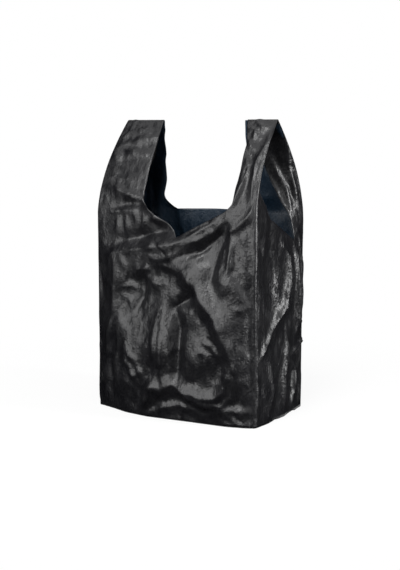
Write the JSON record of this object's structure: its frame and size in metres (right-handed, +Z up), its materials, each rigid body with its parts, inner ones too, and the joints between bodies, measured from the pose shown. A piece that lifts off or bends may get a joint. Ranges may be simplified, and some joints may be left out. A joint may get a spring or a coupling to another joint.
{
  "type": "vest carrier bag",
  "caption": "Black plastic vest carrier bag standing open, with two strap handles, side gussets and a creased front panel",
  "frame": {"origin": "on the floor, below the middle of the bag's whole box", "axes": "+X to the right across the front panel, +Y from the front panel to the back, +Z up"},
  "size_m": [0.319, 0.2226, 0.48],
  "materials": {
    "film": "thin black film, finely crinkled, with a dull sheen"
  },
  "bodies": {
    "root": {"bag": "film"}
  },
  "joints": []
}
